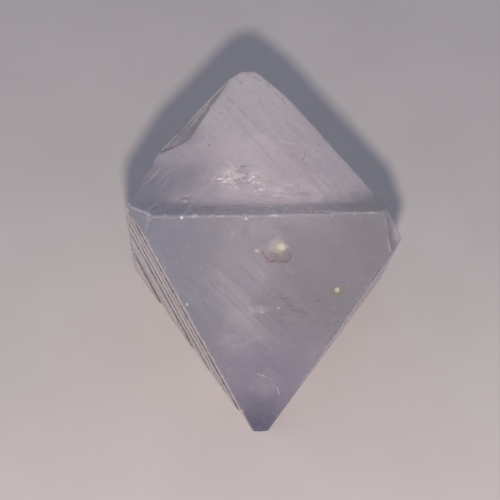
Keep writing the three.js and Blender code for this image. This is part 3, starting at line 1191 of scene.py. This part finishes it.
def body_colour_and_painted_light(tree, colours, cloud):
    """The crystal's colour with its painted reflections, shade, glows and glints: zone over zone, then
    glows, streaks, lines and spots.
    """
    palette = {name: rgba(getattr(colours, name)) for name in colours.bl_rna.properties.keys()
               if name not in ("rna_type", "name")}
    clouds = milky_clouds(tree, 0.16, 0.2, 0.8)
    colour = blend_colour(tree, times(tree, clouds, 0.8), palette["pink"], palette["milk"])
    front_colour = blend_colour(tree, clouds, palette["milk"], palette["warm"])
    colour = blend_colour(tree, near_face(tree, "front", 1.6), colour, front_colour)
    for name, centre, reach, strength, raggedness in COLOUR_SHADE_AND_REFLECTION_ZONES:
        share = times(tree, soft_zone(tree, cloud, centre, reach, raggedness), strength)
        colour = blend_colour(tree, share, colour, palette[name])
    for name, centre, reach, strength in PAINTED_GLOWS:
        share = times(tree, soft_zone(tree, cloud, centre, reach, 1.2), strength)
        colour = blend_colour(tree, share, colour, palette[name])
    mottle = noise_pattern(tree, crystal_place(tree), 1.3, 5.0, 0.7, 0.6)
    colour = blend_colour(tree, between(tree, mottle, 0.48, 0.68, 0.0, 0.2), colour, palette["milk"])
    colour = blend_colour(tree, between(tree, mottle, 0.46, 0.3, 0.0, 0.12), colour, palette["glint"])
    for name, way, fineness, length, cover, strength, centre, reach in STREAKS:
        lines = streaks(tree, way, fineness, length, cover)
        share = times(tree, lines, soft_zone(tree, cloud, centre, reach, 1.0), strength)
        colour = blend_colour(tree, share, colour, palette[name])

    sparkle = None
    for centre, reach, strength in BRIGHT_CLUSTERS:
        zone = times(tree, soft_zone(tree, cloud, centre, reach, 1.0), strength)
        sparkle = zone if sparkle is None else arithmetic(tree, "MAXIMUM", sparkle, zone)
    facets = place_group(tree, "crack_facets", Fineness=1.5, Tilt=2.0, Share=0.55)
    colour = blend_colour(tree, times(tree, sparkle, 0.45), colour, palette["violet"])
    # Painted glints: violet white on some of the crumpled facets in the bright clusters.
    colour = blend_colour(tree, times(tree, sparkle, facets.outputs["Mask"]), colour, palette["glint"])
    crumple = times(tree, sparkle, facets.outputs["Height"])

    ragged = add_node(
        tree, "ShaderNodeTexNoise", {"Vector": crystal_place(tree), "Scale": 1.6, "Detail": 3.0})
    fine_cloud = noise_pattern(tree, crystal_place(tree), 2.4, 3.0)
    for name, start, end, width, wander, strength in LINES:
        line = place_group(
            tree, "thin_line", Start=start, End=end, Width=width, Wander=wander,
            Push=ragged.outputs["Color"], Cloud=fine_cloud).outputs["Mask"]
        colour = blend_colour(tree, times(tree, line, strength), colour, palette[name])
    for name, centre, radius, strength in SPOTS:
        share = times(tree, soft_zone(tree, fine_cloud, centre, (radius,) * 3, 1.3), strength)
        colour = blend_colour(tree, share, colour, palette[name])
    return colour, palette, sparkle, crumple


# Plain values of the crystal's shader. It is cloudy, so a little under half of the light that
# enters is scattered near the surface.
CRYSTAL_SOCKETS = {
    "Transmission Weight": 0.52,
    "IOR": 1.434,
    "Subsurface Weight": 0.6,
    "Subsurface Radius": (1.0, 0.9, 1.1),
    "Subsurface Scale": 3.0 * MM,
}
ABSORPTION_DENSITY = 20.0
LINE_HEIGHT_ON_TOP, LINE_HEIGHT_ON_SIDES = 0.006, 0.003    # millimetres


def fluorite_material(colours):
    """Milky see-through fluorite, with zones, veils, streaks, dirt in its breaks, and painted shade,
    reflections, glows and glints.
    """
    material, tree, shader, output = new_material("milky_fluorite")
    place = crystal_place(tree)
    cloud = noise_pattern(tree, place, 0.5, 4.0, 0.6, 0.4)
    colour, palette, sparkle, crumple = body_colour_and_painted_light(tree, colours, cloud)

    left = times(
        tree, near_face(tree, "left", 0.5), rest_of(tree, near_face(tree, "front", 0.12)),
        rest_of(tree, near_face(tree, "ridge_left_flat", 0.3)))
    colour = blend_colour(tree, left, colour, palette["frost"])
    flake = times(
        tree, near_plane(tree, FLAKE_SLOPE, FLAKE_DISTANCE, 0.1),
        near_plane(tree, FLAKE_WALL, FLAKE_END @ FLAKE_WALL, 0.1),
        rest_of(tree, near_face(tree, "back_left", 0.25)))
    colour = blend_colour(tree, times(tree, flake, 0.75), colour, palette["moss"])

    patches = noise_pattern(tree, place, 1.1, 4.0, 0.65)
    rim = mark(tree, "rim")
    # Edge rims painted frosted white in the patches where they are left glossy: partly white wear, partly
    # painted glints.
    share = times(tree, rim, between(tree, patches, 0.54, 0.66, 0.0, 0.8))
    colour = blend_colour(tree, share, colour, palette["frost"])
    broken = mark(tree, "broken")
    share = times(tree, broken, between(tree, patches, 0.46, 0.62, 0.0, 0.2))
    colour = blend_colour(tree, share, colour, palette["pink"])
    crevice = mark(tree, "crevice")
    dirty = arithmetic(tree, "ADD", 0.3, times(tree, left, 0.5))
    share = times(
        tree, between(tree, crevice, 0.25, 0.75), dirty, between(tree, patches, 0.3, 0.65, 0.5, 1.0))
    colour = blend_colour(tree, share, colour, palette["dirt"])
    set_input(tree, shader.inputs["Base Color"], colour)

    grain = noise_pattern(tree, place, 2.6, 4.0, 0.6)
    rough = between(tree, grain, 0.3, 0.7, 0.19, 0.255)
    rough = arithmetic(tree, "ADD", rough, times(tree, broken, 0.18), clamp=True)
    height_in_crystal = add_node(tree, "ShaderNodeSeparateXYZ", {"Vector": place}).outputs["Z"]
    scuffed = between(tree, height_in_crystal, -9.6, -10.1, 0.0, 0.35)
    worn = times(tree, rim, between(tree, patches, 0.54, 0.66, 0.7, 0.0))
    rough = arithmetic(tree, "ADD", rough, arithmetic(tree, "ADD", scuffed, worn), clamp=True)
    rough = arithmetic(tree, "MULTIPLY", rough, between(tree, sparkle, 0.0, 1.0, 1.0, 0.6))
    set_input(tree, shader.inputs["Roughness"], rough)

    on_top = near_face(tree, "top", 0.4)
    top_lines = streaks(tree, TOP_RIGHT_WAY, 1.8, 18.0, 0.4, output="Height")
    side_lines = streaks(tree, RIGHT_SLOPE_WAY, 1.8, 18.0, 0.4, output="Height")
    lines = arithmetic(
        tree, "ADD", times(tree, top_lines, on_top, LINE_HEIGHT_ON_TOP),
        times(tree, side_lines, rest_of(tree, on_top), LINE_HEIGHT_ON_SIDES))
    height = arithmetic(tree, "ADD", lines, times(tree, crumple, on_top))
    bump = add_node(tree, "ShaderNodeBump", {"Height": height, "Strength": 1.0, "Distance": MM})
    set_input(tree, shader.inputs["Normal"], bump.outputs["Normal"])

    for socket, value in CRYSTAL_SOCKETS.items():
        shader.inputs[socket].default_value = value
    absorption = add_node(
        tree, "ShaderNodeVolumeAbsorption", {"Color": rgba(colours.absorbed), "Density": ABSORPTION_DENSITY})
    set_input(tree, output.inputs["Volume"], absorption.outputs["Volume"])
    return material


def veil_material(colours):
    """A thin milky veil, streaked and ragged, that shows more or less from place to place."""
    material, tree, shader, _ = new_material("milky_veil")
    clouds = milky_clouds(tree, 0.7, 0.35, 0.65)
    lines = streaks(tree, FRONT_SLANT_WAY, 1.6, 12.0, 0.6)
    colour = blend_colour(tree, clouds, rgba(colours.pink), rgba(colours.frost))
    set_input(tree, shader.inputs["Base Color"], colour)
    seen = arithmetic(tree, "MAXIMUM", times(tree, clouds, 0.5), times(tree, lines, 0.6))
    set_input(tree, shader.inputs["Alpha"], seen)
    set_input(tree, shader.inputs["Roughness"], between(tree, seen, 0.0, 1.0, 0.5, 0.3))
    return material


def crack_material(colours):
    """Bright crack faces that throw the light back."""
    material, tree, shader, _ = new_material("bright_crack")
    clouds = milky_clouds(tree, 2.4, 0.3, 0.7)
    colour = blend_colour(tree, clouds, rgba(colours.glint), rgba(colours.pink))
    set_input(tree, shader.inputs["Base Color"], colour)
    set_input(tree, shader.inputs["Roughness"], between(tree, clouds, 0.0, 1.0, 0.12, 0.4))
    shader.inputs["Metallic"].default_value = 0.4
    return material


def grain_material(colours):
    """Rough straw-yellow grains with greener hollows."""
    material, tree, shader, _ = new_material("straw_grain")
    clouds = milky_clouds(tree, 3.0, 0.4, 0.75)
    colour = blend_colour(tree, clouds, rgba(colours.straw), rgba(colours.moss))
    set_input(tree, shader.inputs["Base Color"], colour)
    set_input(tree, shader.inputs["Roughness"], between(tree, clouds, 0.0, 1.0, 0.5, 0.8))
    return material


def floor_material(stage):
    """A plain pale matt table top."""
    material, tree, shader, _ = new_material("pale_table")
    place = add_node(tree, "ShaderNodeTexCoord").outputs["Object"]
    mottle = noise_pattern(tree, place, 60.0, 4.0, 0.6)
    shade = between(tree, mottle, 0.3, 0.7, 0.97, 1.03)
    colour = add_node(tree, "ShaderNodeHueSaturation", {"Value": shade, "Color": rgba(stage.floor)})
    set_input(tree, shader.inputs["Base Color"], colour.outputs["Color"])
    shader.inputs["Roughness"].default_value = 0.7
    return material


# ------------------------------------------------------------------ operators
class FLUORITE_OT_crystal(bpy.types.Operator):
    """Builds the crystal's fine surface and gives it its milky see-through finish"""
    bl_idname = "fluorite.crystal"
    bl_label = "Crystal"

    def execute(self, context):
        crystal = build_crystal(context.scene.fluorite_sizes)
        crystal.data.materials.append(fluorite_material(context.scene.fluorite_colours))
        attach(crystal, "root")
        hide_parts(CAD_NODE)
        return {"FINISHED"}


class FLUORITE_OT_veils(bpy.types.Operator):
    """Seals milky veils in the crystal, along its cleavage planes"""
    bl_idname = "fluorite.veils"
    bl_label = "Sealed veils"

    def execute(self, context):
        material = veil_material(context.scene.fluorite_colours)
        for veil in VEILS:
            seal_in(build_veil(*veil), material)
        return {"FINISHED"}


class FLUORITE_OT_cracks(bpy.types.Operator):
    """Seals clusters of bright little cracks just under the faces"""
    bl_idname = "fluorite.cracks"
    bl_label = "Bright cracks"

    def execute(self, context):
        material = crack_material(context.scene.fluorite_colours)
        rng = np.random.default_rng(8)
        for cluster in CRACKS:
            seal_in(build_cracks(*cluster, rng), material)
        return {"FINISHED"}


class FLUORITE_OT_grains(bpy.types.Operator):
    """Seals the two pale grains under the front face"""
    bl_idname = "fluorite.grains"
    bl_label = "Sealed grains"

    def execute(self, context):
        material = grain_material(context.scene.fluorite_colours)
        for grain in GRAINS:
            seal_in(build_grain(*grain), material)
        return {"FINISHED"}


TABLE_HALF = 1.5    # metres


class FLUORITE_OT_stage(bpy.types.Operator):
    """Sets up the plain table, the lights and the camera"""
    bl_idname = "fluorite.stage"
    bl_label = "Table, lights and camera"

    def execute(self, context):
        stage = context.scene.fluorite_stage
        corners = [(x * TABLE_HALF, y * TABLE_HALF, 0) for x, y in ((-1, -1), (1, -1), (1, 1), (-1, 1))]
        floor = mesh_object("table", corners, [(0, 1, 2, 3)])
        floor.data.materials.append(floor_material(stage))
        add_key_light(stage)
        add_sky(context.scene, stage)
        add_camera(context.scene, stage)
        context.scene.view_settings.view_transform = "Standard"
        return {"FINISHED"}


KEY_PLACE = (-6.5, -152.0, 113.0)    # millimetres about the ideal centre
KEY_DIAMETER = 8.0
KEY_COLOUR = (1.0, 0.86, 0.74)
SKY_COLOUR = (0.78, 0.81, 1.0)


def add_key_light(stage):
    lamp = bpy.data.lights.new("key", "AREA")
    lamp.shape = "DISK"
    lamp.size = KEY_DIAMETER * MM
    lamp.energy = stage.key_power
    lamp.color = KEY_COLOUR
    key = bpy.data.objects.new("key", lamp)
    place = Vector(in_frame(KEY_PLACE))
    key.location = place
    key.rotation_euler = (CENTRE_IN_FRAME - place).to_track_quat("-Z", "Y").to_euler()
    bpy.context.scene.collection.objects.link(key)


def add_sky(scene, stage):
    world = bpy.data.worlds.new("cool_room")
    world.use_nodes = True
    background = world.node_tree.nodes["Background"]
    background.inputs["Color"].default_value = rgba(SKY_COLOUR)
    background.inputs["Strength"].default_value = stage.sky
    scene.world = world


AIM_OFFSET = (-0.88, -0.46)    # millimetres right and up from the ideal centre
LENS = 157.6


def add_camera(scene, stage):
    azimuth, elevation = stage.azimuth, stage.elevation
    back = Vector(heading(math.degrees(azimuth), math.degrees(elevation)))
    level_right = Vector((math.cos(azimuth), math.sin(azimuth), 0))
    level_up = back.cross(level_right)
    right = level_right * math.cos(stage.roll) + level_up * math.sin(stage.roll)
    up = level_up * math.cos(stage.roll) - level_right * math.sin(stage.roll)
    place = CENTRE_IN_FRAME + back * stage.distance
    aim = CENTRE_IN_FRAME + right * AIM_OFFSET[0] * MM + up * AIM_OFFSET[1] * MM
    away = (place - aim).normalized()
    right = up.cross(away).normalized()
    up = away.cross(right)
    lens = bpy.data.cameras.new("camera")
    lens.lens = LENS
    lens.clip_start = 0.01
    camera = bpy.data.objects.new("camera", lens)
    camera.matrix_world = Matrix.Translation(place) @ Matrix((right, up, away)).transposed().to_4x4()
    scene.collection.objects.link(camera)
    scene.camera = camera


class FLUORITE_PT_panel(bpy.types.Panel):
    bl_label = "Fluorite octahedron"
    bl_idname = "FLUORITE_PT_panel"
    bl_space_type = "VIEW_3D"
    bl_region_type = "UI"
    bl_category = "Fluorite"

    def draw(self, context):
        layout = self.layout
        for settings in SETTINGS:
            group = getattr(context.scene, settings)
            box = layout.box()
            for name in group.bl_rna.properties.keys():
                if name not in ("rna_type", "name"):
                    box.prop(group, name)
        for operator in OPERATORS:
            layout.operator(operator.bl_idname)


OPERATORS = (
    FLUORITE_OT_crystal, FLUORITE_OT_veils, FLUORITE_OT_cracks, FLUORITE_OT_grains, FLUORITE_OT_stage)
SETTINGS = {
    "fluorite_sizes": CrystalSizes,
    "fluorite_colours": CrystalColours,
    "fluorite_stage": StageSettings,
}


def register():
    for name, settings in SETTINGS.items():
        bpy.utils.register_class(settings)
        setattr(bpy.types.Scene, name, bpy.props.PointerProperty(type=settings))
    for made in OPERATORS + (FLUORITE_PT_panel,):
        bpy.utils.register_class(made)


def unregister():
    for made in reversed(OPERATORS + (FLUORITE_PT_panel,)):
        bpy.utils.unregister_class(made)
    for name, settings in SETTINGS.items():
        delattr(bpy.types.Scene, name)
        bpy.utils.unregister_class(settings)


def main():
    register()
    bpy.ops.fluorite.crystal()
    bpy.ops.fluorite.veils()
    bpy.ops.fluorite.cracks()
    bpy.ops.fluorite.grains()
    bpy.ops.fluorite.stage()


if __name__ == "__main__":
    main()
